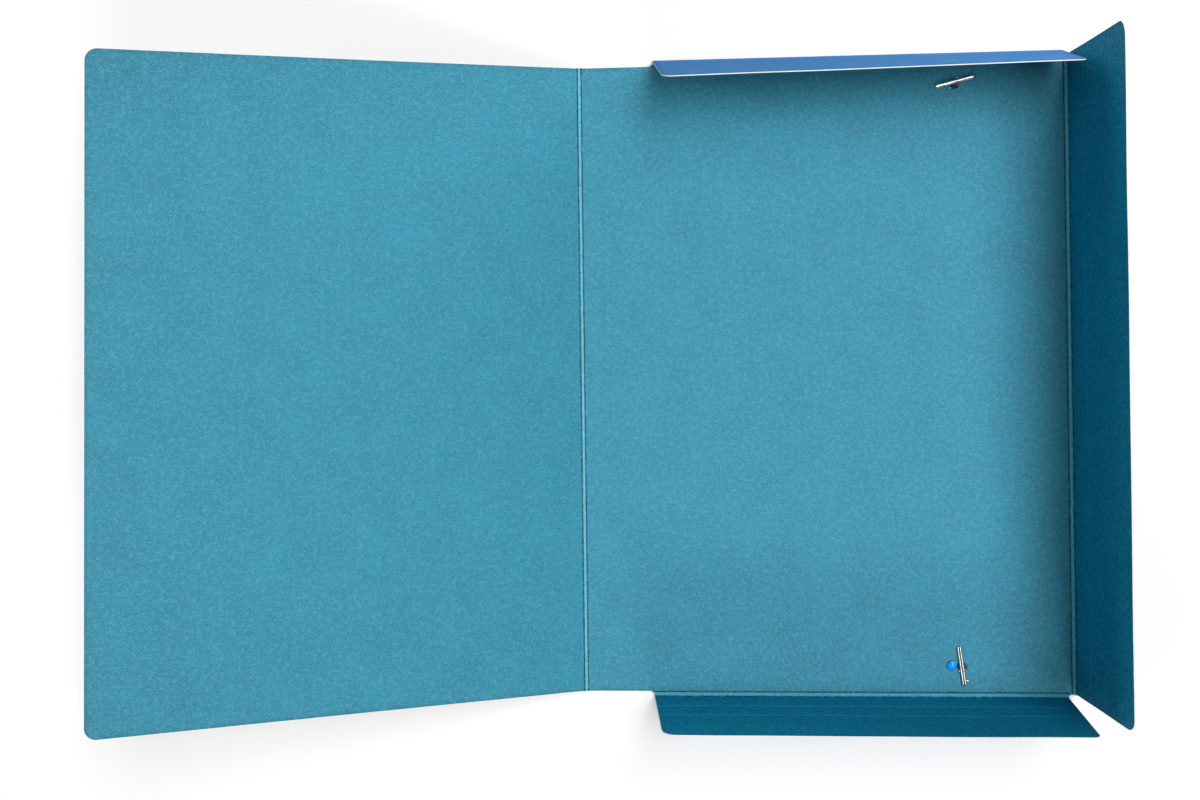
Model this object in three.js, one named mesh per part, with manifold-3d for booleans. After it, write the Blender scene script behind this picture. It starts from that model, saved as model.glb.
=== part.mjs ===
// Three-flap elastic folder for A4 sheets, lying open with its inside up.
// One die-cut, creased board makes the covers and flaps; every crease is a
// double score, so each fold has a narrow strip between two hinge lines.
// Millimetres, +Z up. Origin: centre of the footprint, on the surface that
// the folder lies on. +X runs from the spine to the fore edge.

import * as THREE from 'three';
import { mergeVertices } from 'three/addons/utils/BufferGeometryUtils.js';
import Module from 'manifold-3d';

const wasm = await Module();
wasm.setup();

// ---- driving dimensions (mm, degrees) ----
const BOARD_T = 0.6;          // board thickness
const HALF_H = 160;           // half the height of the covers
const BACK_W = 243.5;         // back cover, spine score to fore-edge score
const FRONT_W = 248;          // front cover, spine score to free edge
const SPINE_W = 2;            // strip between the two spine scores
const CREASE_W = 3;           // strip between the two scores of a flap crease
const SCORE_GAP = 0.15;       // each panel stops this far from its score line
const COVER_R = 6;            // free corners of the front cover

const FLAP_X0 = 36;           // top and bottom flaps: hinge starts this far from the spine
const FLAP_X1 = 242.5;        // and ends here
const FLAP_W = 78;            // top and bottom flap, beyond the crease strip
const FLAP_SCORE_1 = 20.5;    // first capacity score, beyond the crease strip
const FLAP_SCORE_2 = 39.5;    // second capacity score
const FLAP_TAPER_L = 8;       // end taper, spine side
const FLAP_TAPER_R = 1.5;     // end taper, fore-edge side
const FLAP_R = 5;

const SIDE_HALF = 159.3;      // half the length of the fore-edge flap at its hinge
const SIDE_W = 108;           // fore-edge flap, beyond the crease strip
const SIDE_TAPER = 1.8;
const SIDE_R = 5.5;

// fold angle at each crease, flat board = 0, folded in on the cover = 180
const COVER_ANGLE = 28;
const TOP_ANGLE = 103.5;
const BOTTOM_ANGLE = 88;
const SIDE_ANGLE = 87;

// elastic and its metal T-ends
const HOLE_X = 189;
const HOLE_Y = 147.3;
const HOLE_R = 2.5;
const CORD_W = 4;             // flat braided elastic
const CORD_T = 0.9;
const CORD_CLEAR = 0.1;       // under the outer face of the board
const CORD_TOP = -0.3;        // where the cord stops inside the hole
const BAR_L = 20;
const BAR_W = 2.4;
const BAR_H = 1.7;
const BAR_WALL = 0.35;
const BAR_LIFT = 0.15;        // bar above the inner face
const BAR_SEAM = 0.3;
const UPPER_BAR_ANGLE = 14;
const LOWER_BAR_ANGLE = -82.5;
const BEAD_R = 2.5;
const BEAD_H = 2.1;
const BEAD_AT = [-1.6, -4.7]; // from the hole centre, along and across the lower bar
const UPPER_BAR_SLIP = 0.4;   // how far each bar has slipped along itself
const LOWER_BAR_SLIP = -0.8;

// board frame (spine score, mid-height, inner face) to the part's own frame
const SHIFT_X = -15.367;
const SHIFT_Y = 1.537;
const INNER_Z = BOARD_T + CORD_CLEAR + CORD_T;

const rad = THREE.MathUtils.degToRad;

// ---- materials ----
const board = () => new THREE.MeshStandardMaterial({ color: 0x4694ac, roughness: 0.85, metalness: 0 });
const steel = () => new THREE.MeshStandardMaterial({ color: 0xc9c7c2, roughness: 0.25, metalness: 1 });
const braid = () => new THREE.MeshStandardMaterial({ color: 0x2f8fd0, roughness: 0.8, metalness: 0 });
const plastic = () => new THREE.MeshStandardMaterial({ color: 0x149bfa, roughness: 0.15, metalness: 0 });

// ---- helpers ----
// polygon [x, y, corner radius], counter-clockwise, to a list of points
function rounded(corners, step = 15) {
  const out = [];
  const n = corners.length;
  for (let i = 0; i < n; i++) {
    const [x, y, r = 0] = corners[i];
    const p = new THREE.Vector2(x, y);
    if (!r) { out.push(p); continue; }
    const a = new THREE.Vector2(...corners[(i + n - 1) % n].slice(0, 2)).sub(p).normalize();
    const b = new THREE.Vector2(...corners[(i + 1) % n].slice(0, 2)).sub(p).normalize();
    const half = Math.acos(THREE.MathUtils.clamp(a.dot(b), -1, 1)) / 2;
    const mid = a.clone().add(b).normalize();
    const centre = p.clone().addScaledVector(mid, r / Math.sin(half));
    const t = r / Math.tan(half);
    const from = p.clone().addScaledVector(a, t).sub(centre);
    const to = p.clone().addScaledVector(b, t).sub(centre);
    let turn = to.angle() - from.angle();
    while (turn > Math.PI) turn -= 2 * Math.PI;
    while (turn < -Math.PI) turn += 2 * Math.PI;
    const steps = Math.max(2, Math.round(Math.abs(THREE.MathUtils.radToDeg(turn)) / step));
    for (let k = 0; k <= steps; k++) {
      const q = from.angle() + turn * k / steps;
      out.push(new THREE.Vector2(centre.x + r * Math.cos(q), centre.y + r * Math.sin(q)));
    }
  }
  return out;
}

// a flat piece of board: outline in XY, inner face at z = 0, outer face below it
function panel(name, corners, holes = []) {
  const shape = new THREE.Shape(rounded(corners));
  for (const [x, y, r] of holes) {
    shape.holes.push(new THREE.Path().absarc(x, y, r, 0, 2 * Math.PI, true));
  }
  const geometry = new THREE.ExtrudeGeometry(shape, { depth: BOARD_T, bevelEnabled: false, curveSegments: 20 });
  geometry.translate(0, 0, -BOARD_T);
  const mesh = new THREE.Mesh(geometry, board());
  mesh.name = name;
  return mesh;
}

// a group turned about a hinge line that runs through its own origin
function turned(parent, position, axis, degrees) {
  const group = new THREE.Group();
  group.position.set(...position);
  group.quaternion.setFromAxisAngle(new THREE.Vector3(...axis), rad(degrees));
  parent.add(group);
  return group;
}

function toSolid(geometry) {
  const g = geometry.clone();
  g.deleteAttribute('normal');
  g.deleteAttribute('uv');
  const merged = mergeVertices(g, 1e-5);
  return new wasm.Manifold(new wasm.Mesh({
    numProp: 3,
    vertProperties: new Float32Array(merged.attributes.position.array),
    triVerts: new Uint32Array(merged.index.array),
  }));
}

function fromSolid(solid) {
  const m = solid.getMesh();
  const g = new THREE.BufferGeometry();
  g.setAttribute('position', new THREE.BufferAttribute(new Float32Array(m.vertProperties), 3));
  g.setIndex(new THREE.BufferAttribute(new Uint32Array(m.triVerts), 1));
  const flat = g.toNonIndexed();
  flat.computeVertexNormals();
  return flat;
}

function boxAt(lx, ly, lz, x, y, z) {
  const g = new THREE.BoxGeometry(lx, ly, lz);
  g.translate(x, y, z);
  return g;
}

// ---- the folder ----
const folder = new THREE.Group();
const frame = new THREE.Group();
frame.position.set(SHIFT_X, SHIFT_Y, INNER_Z);
folder.add(frame);

const g = SCORE_GAP;

// back cover: root of the assembly, with the two cord holes
frame.add(panel('back_cover', [
  [g, -HALF_H, 0.8],
  [FLAP_X0 - 2, -HALF_H, 0], [FLAP_X0 - 0.6, -HALF_H + g, 0],
  [BACK_W - g, -HALF_H + g, 1.2],
  [BACK_W - g, HALF_H - g, 1.2],
  [FLAP_X0 - 0.6, HALF_H - g, 0], [FLAP_X0 - 2, HALF_H, 0],
  [g, HALF_H, 0.8],
], [[HOLE_X, HOLE_Y, HOLE_R], [HOLE_X, -HOLE_Y, HOLE_R]]));

// spine strip and front cover
const spine = turned(frame, [0, 0, 0], [0, 1, 0], COVER_ANGLE / 2);
spine.add(panel('spine_crease_strip', [
  [-SPINE_W + g, -HALF_H], [-g, -HALF_H], [-g, HALF_H], [-SPINE_W + g, HALF_H],
]));
const cover = turned(spine, [-SPINE_W, 0, 0], [0, 1, 0], COVER_ANGLE / 2);
cover.add(panel('front_cover', [
  [-FRONT_W, -HALF_H, COVER_R], [-g, -HALF_H, 0.8], [-g, HALF_H, 0.8], [-FRONT_W, HALF_H, COVER_R],
]));

// top and bottom flaps: crease strip, then three bands between the capacity scores
function endFlap(prefix, side, angle) {
  const axis = [side, 0, 0];
  const strip = turned(frame, [0, side * HALF_H, 0], axis, angle / 2);
  const left = (w) => FLAP_X0 + FLAP_TAPER_L * w / FLAP_W;
  const right = (w) => FLAP_X1 - FLAP_TAPER_R * w / FLAP_W;
  // outline from distances w along the flap, kept counter-clockwise on both sides
  const band = (name, w0, w1, r) => {
    const pts = [
      [left(w0), side * w0, 0], [right(w0), side * w0, 0],
      [right(w1), side * w1, r ? r - 1.5 : 0], [left(w1), side * w1, r],
    ];
    return panel(name, side > 0 ? pts : pts.reverse());
  };
  strip.add(panel(`${prefix}_crease_strip`, side > 0
    ? [[FLAP_X0, g], [FLAP_X1, g], [FLAP_X1, CREASE_W - g], [FLAP_X0, CREASE_W - g]]
    : [[FLAP_X0, -CREASE_W + g], [FLAP_X1, -CREASE_W + g], [FLAP_X1, -g], [FLAP_X0, -g]]));
  const base = turned(strip, [0, side * CREASE_W, 0], axis, angle / 2);
  base.add(band(`${prefix}_flap_base`, g, FLAP_SCORE_1 - g, 0));
  base.add(band(`${prefix}_flap_middle`, FLAP_SCORE_1 + g, FLAP_SCORE_2 - g, 0));
  base.add(band(`${prefix}_flap_lip`, FLAP_SCORE_2 + g, FLAP_W, FLAP_R));
}
endFlap('top', 1, TOP_ANGLE);
endFlap('bottom', -1, BOTTOM_ANGLE);

// fore-edge flap
const sideStrip = turned(frame, [BACK_W, 0, 0], [0, -1, 0], SIDE_ANGLE / 2);
sideStrip.add(panel('side_crease_strip', [
  [g, -SIDE_HALF], [CREASE_W - g, -SIDE_HALF], [CREASE_W - g, SIDE_HALF], [g, SIDE_HALF],
]));
const sideFlap = turned(sideStrip, [CREASE_W, 0, 0], [0, -1, 0], SIDE_ANGLE / 2);
sideFlap.add(panel('side_flap', [
  [g, -SIDE_HALF, 0], [SIDE_W, -SIDE_HALF + SIDE_TAPER, SIDE_R],
  [SIDE_W, SIDE_HALF - SIDE_TAPER, SIDE_R], [g, SIDE_HALF, 0],
]));

// elastic: flat braid along the outer face, turned up into both holes.
// Side profile in the YZ plane, extruded across the width.
{
  const top = -BOARD_T - CORD_CLEAR;
  const bottom = top - CORD_T;
  const inner = CORD_TOP - top;            // radius of the upper side of the bend
  const outer = inner + CORD_T;
  const cy = HOLE_Y - inner - CORD_T / 2;  // bend centre
  const arc = (r, sign, from, to, n) => Array.from({ length: n + 1 }, (_, k) => {
    const q = rad(from + (to - from) * k / n);
    return new THREE.Vector2(sign * (cy + r * Math.sin(q)), CORD_TOP - r * Math.cos(q));
  });
  const pts = [
    ...arc(outer, 1, 0, 90, 6), ...arc(inner, 1, 90, 0, 4),
    ...arc(inner, -1, 0, 90, 4), ...arc(outer, -1, 90, 0, 6),
  ];
  const geometry = new THREE.ExtrudeGeometry(new THREE.Shape(pts), { depth: CORD_W, bevelEnabled: false });
  // profile (a, b) with extrusion c becomes x = c, y = a, z = b
  const basis = new THREE.Matrix4().makeBasis(
    new THREE.Vector3(0, 1, 0), new THREE.Vector3(0, 0, 1), new THREE.Vector3(1, 0, 0));
  geometry.applyMatrix4(basis);
  geometry.translate(HOLE_X - CORD_W / 2, 0, 0);
  const mesh = new THREE.Mesh(geometry, braid());
  mesh.name = 'elastic_cord';
  frame.add(mesh);
  if (bottom < -INNER_Z - 1e-6) throw new Error('the cord is lower than the surface');
}

// metal T-end: a sleeve folded from sheet steel, open seam on top, a slot below
// for the cord and a notch in one flank, crimped on the cord's end
function tBar(prefix, y, degrees, slip) {
  const bar = turned(frame, [HOLE_X, y, 0], [0, 0, 1], degrees);
  const z0 = BAR_LIFT;
  const z1 = BAR_LIFT + BAR_H;
  const ring = (inset, r) => {
    const w = BAR_W / 2 - inset;
    return rounded([[-w, z0 + inset, r], [w, z0 + inset, r], [w, z1 - inset, r], [-w, z1 - inset, r]], 22.5);
  };
  const outline = new THREE.Shape(ring(0, 0.7));
  outline.holes.push(new THREE.Path(ring(BAR_WALL, 0.35)));
  const tube = new THREE.ExtrudeGeometry(outline, { depth: BAR_L, bevelEnabled: false });
  // section (a, b) with extrusion c becomes x = c, y = a, z = b
  const basis = new THREE.Matrix4().makeBasis(
    new THREE.Vector3(0, 1, 0), new THREE.Vector3(0, 0, 1), new THREE.Vector3(1, 0, 0));
  tube.applyMatrix4(basis);
  tube.translate(slip - BAR_L / 2, 0, 0);
  let sleeve = toSolid(tube);
  sleeve = sleeve.subtract(toSolid(boxAt(BAR_L + 4, BAR_SEAM, 1, 0, 0, z1)));
  sleeve = sleeve.subtract(toSolid(boxAt(2.8, 1.5, 0.8, 0, 0, z0)));
  sleeve = sleeve.subtract(toSolid(boxAt(1.1, 1.4, 1.1, 1.2, 0.8, z1 - 0.3)));
  const sleeveMesh = new THREE.Mesh(fromSolid(sleeve), steel());
  sleeveMesh.name = `${prefix}_tbar_sleeve`;
  bar.add(sleeveMesh);

  const neck = toSolid(boxAt(2.2, 1.0, 0.9, 0, 0, 0.45));
  const core = toSolid(boxAt(13, 1.3, 0.6, 0, 0, 1.0));
  const end = new THREE.Mesh(fromSolid(neck.add(core)), braid());
  end.name = `${prefix}_tbar_cord_end`;
  bar.add(end);
  return bar;
}
tBar('upper', HOLE_Y, UPPER_BAR_ANGLE, UPPER_BAR_SLIP);
const lower = tBar('lower', -HOLE_Y, LOWER_BAR_ANGLE, LOWER_BAR_SLIP);

// the cord's spare end, melted into a flat-domed head beside the lower bar
{
  const pts = [new THREE.Vector2(0, 0.2), new THREE.Vector2(BEAD_R - 0.5, 0.2), new THREE.Vector2(BEAD_R - 0.1, 0.45)];
  for (let k = 0; k <= 7; k++) {
    const q = rad(90 * k / 7);
    pts.push(new THREE.Vector2(k === 7 ? 0 : BEAD_R * Math.cos(q), 0.75 + (BEAD_H - 0.55) * Math.sin(q)));
  }
  const head = new THREE.LatheGeometry(pts, 28);
  head.rotateX(Math.PI / 2);
  head.translate(...BEAD_AT, 0);
  const mesh = new THREE.Mesh(head, plastic());
  mesh.name = 'cord_end_bead';
  lower.add(mesh);
}

export default folder;
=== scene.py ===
# Three-flap elastic folder for A4 sheets, lying open with its inside up.
# Lengths in the geometry code are millimetres in the board's own frame:
# x = 0 on the spine's back score, y = 0 at mid-height, z = 0 on the inner face.
import bpy, bmesh, math
import numpy as np
from mathutils import Matrix, Vector, noise
from mathutils.geometry import delaunay_2d_cdt


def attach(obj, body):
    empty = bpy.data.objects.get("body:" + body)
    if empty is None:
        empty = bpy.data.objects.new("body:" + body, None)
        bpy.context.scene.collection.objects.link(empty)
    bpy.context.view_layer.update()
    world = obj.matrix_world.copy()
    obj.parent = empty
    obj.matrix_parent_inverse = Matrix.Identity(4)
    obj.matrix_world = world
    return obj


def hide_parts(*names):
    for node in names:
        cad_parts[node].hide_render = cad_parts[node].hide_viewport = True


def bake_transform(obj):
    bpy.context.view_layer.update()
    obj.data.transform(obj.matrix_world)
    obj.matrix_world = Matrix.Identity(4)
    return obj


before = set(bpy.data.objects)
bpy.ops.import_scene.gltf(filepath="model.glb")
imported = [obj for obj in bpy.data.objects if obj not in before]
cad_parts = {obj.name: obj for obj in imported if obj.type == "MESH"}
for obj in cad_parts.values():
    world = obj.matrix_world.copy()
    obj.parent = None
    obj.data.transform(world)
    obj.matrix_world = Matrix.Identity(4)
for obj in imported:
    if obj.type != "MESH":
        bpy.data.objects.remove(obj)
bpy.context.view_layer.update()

# ------------------------------------------------------------------ sizes
T = 0.6                      # board
HALF_H = 160.0
BACK_W, FRONT_W, SPINE_W, CREASE_W = 243.5, 248.0, 2.0, 3.0
COVER_A, TOP_A, BOTTOM_A, SIDE_A = map(math.radians, (28.0, 103.5, 88.0, 87.0))
DELTA = 0.4                  # half the length over which one score bends
SEAM = 0.7                   # where a panel mesh hands over to its crease mesh
HOLE = (189.0, 147.3, 2.5)
OFFSET = Vector((-15.367, 1.537, 1.6))


def row(p):
    return (Vector(p) + OFFSET) * 0.001


def smooth(t):
    t = min(max(t, 0.0), 1.0)
    return t * t * (3 - 2 * t)


def wave(x, y, seed, size):
    """Smooth unevenness from -1 to 1, the same each run."""
    return noise.noise(Vector((x / size, y / size, seed * 7.31)))


# ------------------------------------------------------------------ folding
def over_crease(w, h, W, angle):
    """A point w past the first score, h above the inner face, on board folded up by angle over two scores."""
    if w < W / 2:
        a = angle / 2 * smooth((w + DELTA) / (2 * DELTA))
        return w * math.cos(a) - h * math.sin(a), w * math.sin(a) + h * math.cos(a)
    a = angle / 2 + angle / 2 * smooth((w - W + DELTA) / (2 * DELTA))
    v = w - W
    return (W * math.cos(angle / 2) + v * math.cos(a) - h * math.sin(a),
            W * math.sin(angle / 2) + v * math.sin(a) + h * math.cos(a))


def on_back(x, y, h):
    return Vector((x, y, h))


def on_spine(x, y, h):
    w = -x
    a, b = over_crease(w, h, SPINE_W, COVER_A)
    return Vector((-a, y, b))


def on_cover(x, y, h):
    # the cover bows a little away from its inside, and was cut slightly out of square
    w = -x
    s = min(max((w - 8) / 242, 0), 1)
    h -= 0.9 * math.sin(math.pi * s) ** 2 * (0.75 + 0.25 * y / HALF_H)
    h += 0.10 * wave(x, y, 3, 60) * smooth((w - 4) / 30)
    g = smooth((w - 2) / 20) * (w / 250)
    p = on_spine(x, y, h)
    p.x += g * (1.05 + 1.95 * y / HALF_H)
    p.y += g * (-2.3 - 0.7 * y / HALF_H)
    return p


def on_side(x, y, h):
    w = x - BACK_W
    if w > 6:
        h += 0.35 * wave(x, y, 5, 70) * smooth((w - 6) / 40)
    a, b = over_crease(w, h, CREASE_W, SIDE_A)
    return Vector((BACK_W + a, y, b))


def on_top(x, y, h):
    w = y - HALF_H
    if w > 5:
        far = (w - 5) / 76
        h += far * (1.35 * (139.6 - x) / 103)     # the flap is twisted a little
        h += 0.22 * wave(x, y, 7, 45) * smooth(far * 2)
    a, b = over_crease(w, h, CREASE_W, TOP_A)
    return Vector((x, HALF_H + a, b))


def on_bottom(x, y, h):
    w = -y - HALF_H
    if w > 5:
        h += 0.25 * wave(x, y, 9, 50) * smooth((w - 5) / 40)
    a, b = over_crease(w, h, CREASE_W, BOTTOM_A)
    return Vector((x, -HALF_H - a, b))


# ------------------------------------------------------------------ meshes
def finish_mesh(name, bm, flat, mark, mats, sharp=38):
    """Metres, normals out, and the two attributes the materials read."""
    me = bpy.data.meshes.new(name)
    bm.to_mesh(me)
    bm.free()
    for m in mats:
        me.materials.append(m)
    for key, values in (("flat", flat), ("mark", mark)):
        at = me.attributes.new(key, "FLOAT_VECTOR", "POINT")
        at.data.foreach_set("vector", np.asarray(values, dtype=np.float32).ravel())
    for p in me.polygons:
        p.use_smooth = True
    me.set_sharp_from_angle(angle=math.radians(sharp))
    ob = bpy.data.objects.new(name, me)
    bpy.context.scene.collection.objects.link(ob)
    return ob


def clean(bm, layers):
    """Joins doubled points, drops empty faces, and reads the point layers back."""
    bmesh.ops.remove_doubles(bm, verts=bm.verts, dist=2e-6)
    bmesh.ops.dissolve_degenerate(bm, edges=bm.edges, dist=2e-6)
    loose = [v for v in bm.verts if not v.link_faces]
    bmesh.ops.delete(bm, geom=loose, context="VERTS")
    bmesh.ops.recalc_face_normals(bm, faces=bm.faces)
    out = [[tuple(v[layer]) for v in bm.verts] for layer in layers]
    for name in ("flat_", "mark_"):
        bm.verts.layers.float_vector.remove(bm.verts.layers.float_vector[name])
    return out


def rounded(corners, step=3.0):
    """[(x, y, radius, free)] counter-clockwise -> points and, for each, whether the edge after it is free.
    A pair instead of the radius rounds the corner by those lengths along the edges before and after it."""
    pts, free = [], []
    n = len(corners)
    for i in range(n):
        x, y, r, f = corners[i]
        p = Vector((x, y))
        prev_free = corners[i - 1][3]
        if not r:
            pts.append(p)
            free.append(f)
        else:
            a = (Vector(corners[i - 1][:2]) - p).normalized()
            b = (Vector(corners[(i + 1) % n][:2]) - p).normalized()
            if isinstance(r, tuple):
                for j in range(11):
                    q = math.pi / 2 * j / 10
                    pts.append(p + a * (r[0] * (1 - math.sin(q))) + b * (r[1] * (1 - math.cos(q))))
                    free.append(f if j == 10 else (prev_free or f))
                continue
            half = math.acos(max(-1, min(1, a.dot(b)))) / 2
            c = p + (a + b).normalized() * (r / math.sin(half))
            t = r / math.tan(half)
            v0, v1 = p + a * t - c, p + b * t - c
            a0 = math.atan2(v0.y, v0.x)
            turn = math.atan2(v1.y, v1.x) - a0
            while turn > math.pi: turn -= 2 * math.pi
            while turn < -math.pi: turn += 2 * math.pi
            k = max(3, round(math.degrees(abs(turn)) / (9 if r > 3 else 15)))
            for j in range(k + 1):
                q = a0 + turn * j / k
                pts.append(c + Vector((math.cos(q), math.sin(q))) * r)
                free.append(f if j == k else (prev_free or f))
    # long edges are divided
    out, flags = [], []
    for i, p in enumerate(pts):
        q = pts[(i + 1) % len(pts)]
        k = max(1, math.ceil((q - p).length / step))
        for j in range(k):
            out.append(p.lerp(q, j / k))
            flags.append(free[i])
    return out, flags


def inset(pts, free, d):
    """Moves each point in from its free edges by d, and along its seam edges."""
    out = []
    n = len(pts)
    for i in range(n):
        t1 = (pts[i] - pts[i - 1]).normalized()
        t2 = (pts[(i + 1) % n] - pts[i]).normalized()
        d1, d2 = d * free[i - 1], d * free[i]
        n1, n2 = Vector((-t1.y, t1.x)), Vector((-t2.y, t2.x))
        det = n1.x * n2.y - n1.y * n2.x
        if abs(det) < 0.02:
            out.append(pts[i] + n2 * max(d1, d2))
        else:
            out.append(pts[i] + Vector(((d1 * n2.y - d2 * n1.y) / det, (n1.x * d2 - n2.x * d1) / det)))
    return out


def edge_distance(p, segs):
    """Distance from each point of p (n, 2) to the nearest of the segments (m, 4)."""
    if not len(segs):
        return np.full(len(p), 99.0)
    a, b = segs[:, :2], segs[:, 2:]
    d = b - a
    best = np.full(len(p), 99.0)
    for k in range(len(segs)):
        l2 = max(1e-9, float(d[k] @ d[k]))
        t = np.clip(((p - a[k]) @ d[k]) / l2, 0, 1)
        q = a[k] + t[:, None] * d[k]
        best = np.minimum(best, np.hypot(*(p - q).T))
    return best


def within(p, segs):
    """Which of the points p lie inside the outline made by segs, by counting crossings."""
    inside = np.zeros(len(p), bool)
    for x0, y0, x1, y1 in segs:
        if y0 != y1:
            inside ^= ((y0 > p[:, 1]) != (y1 > p[:, 1])) & (p[:, 0] < (x1 - x0) * (p[:, 1] - y0) / (y1 - y0) + x0)
    return inside


def panel(name, corners, place, mats, holes=(), grid=9.0, seed=1):
    """A flat piece of board with a slightly rounded, slightly ragged cut edge, closed all round."""
    pts, free = rounded(corners)
    # the cut wanders a little along free edges
    loops = [(pts, free)]
    for hx, hy, hr in holes:
        k = 40
        loops.append(([Vector((hx + hr * math.cos(-2 * math.pi * j / k), hy + hr * math.sin(-2 * math.pi * j / k)))
                       for j in range(k)], [True] * k))
    segs = []
    for lp, fr in loops:
        for i, p in enumerate(lp):
            if fr[i]:
                q = lp[(i + 1) % len(lp)]
                segs.append((p.x, p.y, q.x, q.y))
    segs = np.array(segs)

    bm = bmesh.new()
    flat_l = bm.verts.layers.float_vector.new("flat_")
    mark_l = bm.verts.layers.float_vector.new("mark_")
    made = []

    def vert(x, y, h):
        v = bm.verts.new(row(place(x, y, h)))
        v[flat_l] = (x, y, h)
        made.append(v)
        return v

    def quad(a, b, c, d, m):
        ids = []
        for v in (a, b, c, d):
            if v not in ids:
                ids.append(v)
        if len(ids) > 2:
            try:
                bm.faces.new(ids).material_index = m
            except ValueError:
                pass

    bevel, soft = 0.22, 0.40
    tops, bottoms = [], []
    for li, (lp, fr) in enumerate(loops):
        r1, r2 = inset(lp, fr, bevel), inset(lp, fr, soft)
        n = len(lp)
        burr = [0.02 * wave(p.x, p.y, seed, 1.3) for p in lp]
        rows = []
        # from the inner face, round the edge, to the outer face
        rows.append([vert(p.x, p.y, 0.0) for p in r2])
        rows.append([vert(p.x, p.y, -0.004 if fr[i] else 0.0) for i, p in enumerate(r1)])
        for hh in (-0.12, -0.24, -0.4, -0.545):
            bulge = 0.03 * math.sin(math.pi * (-hh) / T)
            rr = inset(lp, fr, -bulge)
            rows.append([vert(p.x, p.y, hh + (burr[i] if fr[i] else 0)) for i, p in enumerate(rr)])
        rows.append([vert(p.x, p.y, -T - (0.008 if fr[i] else 0)) for i, p in enumerate(inset(lp, fr, 0.07))])
        rows.append([vert(p.x, p.y, -T) for p in r2])
        for k in range(len(rows) - 1):
            # the walls of punched holes take the inside paper, which the groove mark darkens as painted shade, instead
            # of the white cut edge
            m = 0 if k == 0 else (1 if k >= 5 else (0 if li else 2))     # punched holes keep the face's colour
            for i in range(n):
                j = (i + 1) % n
                quad(rows[k][i], rows[k + 1][i], rows[k + 1][j], rows[k][j], m)
        tops.append((r2, rows[0]))
        bottoms.append((r2, rows[-1]))

    # inner points: rings near the free edges, then a slightly shifted grid
    ring_pts, edges = [], []
    for r2, _ in tops:
        base = len(ring_pts)
        ring_pts += [Vector((p.x, p.y)) for p in r2]
        edges += [(base + i, base + (i + 1) % len(r2)) for i in range(len(r2))]
    # doubled points on seams are impossible here: each loop's insets stay apart
    xs = [p.x for p in ring_pts]
    ys = [p.y for p in ring_pts]
    inner = []
    allseg = np.array([(ring_pts[a].x, ring_pts[a].y, ring_pts[b].x, ring_pts[b].y) for a, b in edges])
    for d in (0.9, 2.2):
        for lp, fr in loops:
            rr = inset(lp, fr, d)
            inner += [rr[i] for i in range(0, len(lp)) if fr[i] and fr[i - 1] and i % (1 if d < 2 else 2) == 0]
    nx = max(1, round((max(xs) - min(xs)) / grid))
    ny = max(1, round((max(ys) - min(ys)) / grid))
    for i in range(nx + 1):
        for j in range(ny + 1):
            x = min(xs) + (max(xs) - min(xs)) * i / nx
            y = min(ys) + (max(ys) - min(ys)) * (j + (0.5 if i % 2 else 0)) / ny
            inner.append(Vector((x, y)))
    arr = np.array([(p.x, p.y) for p in inner])
    dist = edge_distance(arr, allseg)
    inside = within(arr, allseg)
    # near points are thinned so that no sliver triangles appear
    keep = []
    cells = {}
    for k in range(len(arr)):
        lim = 0.45 if dist[k] < 1.2 else (1.2 if dist[k] < 2.6 else 3.2)
        if not inside[k] or dist[k] < 0.4 or (k >= len(arr) - (nx + 1) * (ny + 1) and dist[k] < 3.4):
            continue
        cx, cy = int(arr[k, 0] // 3.2), int(arr[k, 1] // 3.2)
        near = any((arr[k, 0] - q[0]) ** 2 + (arr[k, 1] - q[1]) ** 2 < lim * lim
                   for a in (-1, 0, 1) for b in (-1, 0, 1) for q in cells.get((cx + a, cy + b), ()))
        if near:
            continue
        cells.setdefault((cx, cy), []).append(arr[k])
        keep.append(Vector(arr[k]))
    verts2 = ring_pts + keep
    vo, eo, fo, ov, oe, of = delaunay_2d_cdt(verts2, edges, [], 0, 1e-5)
    fo = [f for f in fo if len(f) == 3]
    cs = np.array([[sum(vo[k].x for k in f) / 3, sum(vo[k].y for k in f) / 3] for f in fo])
    fo = [f for f, ok in zip(fo, within(cs, allseg)) if ok]
    for side, h, m in ((0, 0.0, 0), (1, -T, 1)):
        known = []
        for lp in (tops if side == 0 else bottoms):
            known += lp[1]
        vs = []
        for k, p in enumerate(vo):
            src = [s for s in ov[k] if s < len(ring_pts)]
            vs.append(known[src[0]] if src else vert(p.x, p.y, h))
        for f in fo:
            bm.faces.new([vs[k] for k in f]).material_index = m
    # marks: bead, groove, distance to the nearest cut edge
    xy = np.array([(v[flat_l][0], v[flat_l][1]) for v in made])
    ed = edge_distance(xy, segs)
    ring = np.full(len(xy), 9.0)
    for hx, hy, hr in holes:
        ring = np.minimum(ring, np.abs(np.hypot(xy[:, 0] - hx, xy[:, 1] - hy) - hr))
    # the groove mark also paints shade on the rims and walls of the punched holes
    for v, e, q in zip(made, ed, ring):
        v[mark_l] = (0.0, 1.15 * math.exp(-(q / 0.45) ** 2), e if q > 3 else 9.0)
    flat, mark = clean(bm, (flat_l, mark_l))
    return finish_mesh(name, bm, flat, mark, mats)


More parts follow.
